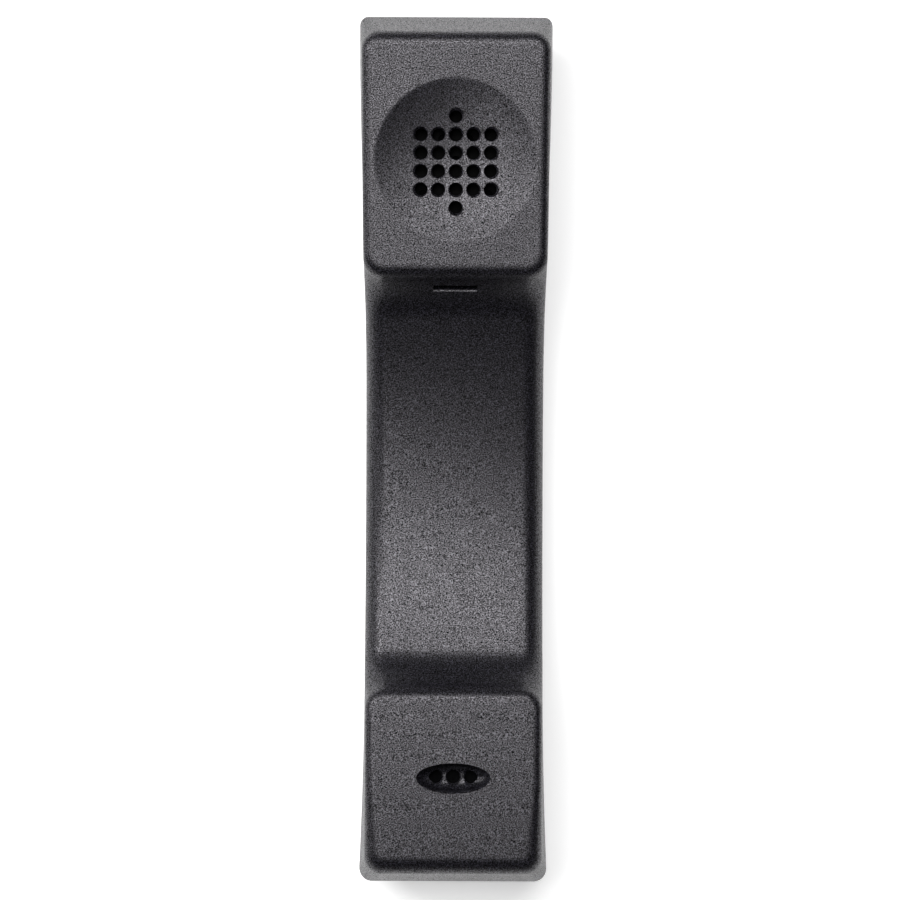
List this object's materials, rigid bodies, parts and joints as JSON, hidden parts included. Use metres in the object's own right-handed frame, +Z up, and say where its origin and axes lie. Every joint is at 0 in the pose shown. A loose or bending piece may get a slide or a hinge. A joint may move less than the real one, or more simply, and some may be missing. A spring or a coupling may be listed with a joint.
{
  "type": "telephone handset",
  "caption": "Wired telephone handset with a square dished ear block, an arched grip and a mouth block with an oval microphone slot.",
  "frame": {"origin": "centre of the bounding box's bottom face, on the flat of the back that the handset lies on", "axes": "+X across the handset, +Y along it towards the ear end, +Z up out of the ear and mouth faces"},
  "size_m": [0.0462, 0.207, 0.037],
  "materials": {
    "case_front": "fine spark-eroded grain, satin",
    "case_rear": "fine spark-eroded grain, satin",
    "inner_plastic": "smooth moulded, semi-matte",
    "cap_metal": "pressed, black lacquer",
    "plated_steel": "nickel plated",
    "steel_screw": "zinc plated",
    "weight_steel": "mill finish with saw marks",
    "magnet": "dull grey, ground",
    "capsule_metal": "drawn can, satin",
    "copper_wire": "enamelled copper winding",
    "gold_wire": "gold flashed spring wire",
    "solder": "tinned",
    "foam": "open-cell foam",
    "boot_rubber": "soft moulded rubber",
    "membrane": "thin flexible film",
    "cone": "thin amber film",
    "felt": "thin felt",
    "black_felt": "thin felt",
    "circuit_board": "solder-mask lacquer",
    "ceramic_part": "matte",
    "lead_red": "soft insulation",
    "lead_black": "soft insulation",
    "lead_white": "soft insulation",
    "lead_green": "soft insulation",
    "tape": "crepe adhesive tape"
  },
  "bodies": {
    "handset": {"front_shell": "case_front", "rear_shell": "case_rear", "shell_screws": "steel_screw", "screw_plugs": "case_rear", "receiver_gasket": "foam", "receiver_cap": "cap_metal", "receiver_screen": "black_felt", "receiver_frame": "inner_plastic", "receiver_surround": "membrane", "receiver_pole_plate": "plated_steel", "receiver_magnet": "magnet", "receiver_yoke": "plated_steel", "receiver_felt": "felt", "receiver_terminal_board": "circuit_board", "receiver_lugs": "solder", "receiver_clamp": "inner_plastic", "clamp_screws": "steel_screw", "mic_screen": "black_felt", "mic_boot": "boot_rubber", "mic_capsule": "capsule_metal", "mic_board": "circuit_board", "jack_housing": "inner_plastic", "contact_tails": "gold_wire", "jack_board": "circuit_board", "board_capacitors": "ceramic_part", "board_screws": "steel_screw", "weight_bar": "weight_steel", "weight_pads": "foam", "weight_screws": "steel_screw", "receiver_lead_red": "lead_red", "receiver_lead_black": "lead_black", "mic_lead_white": "lead_white", "mic_lead_green": "lead_green", "lead_tape": "tape"},
    "moving_coil": {"receiver_diaphragm": "cone", "voice_coil": "copper_wire"},
    "jack_contacts": {"jack_contact_1": "gold_wire", "jack_contact_2": "gold_wire", "jack_contact_3": "gold_wire", "jack_contact_4": "gold_wire"}
  },
  "joints": [
    {"name": "coil_travel", "type": "slide", "parent": "handset", "child": "moving_coil", "axis": [0, 0, 1], "range_m": [-0.0003, 0.0003], "stiffness_N_per_m": 400, "deforming": ["receiver_surround"]},
    {"name": "contact_flex", "type": "hinge", "parent": "handset", "child": "jack_contacts", "pos_m": [0, -0.1014, 0.01735], "axis": [1, 0, 0], "range_deg": [0, 12], "stiffness_Nm_per_rad": 0.15}
  ]
}
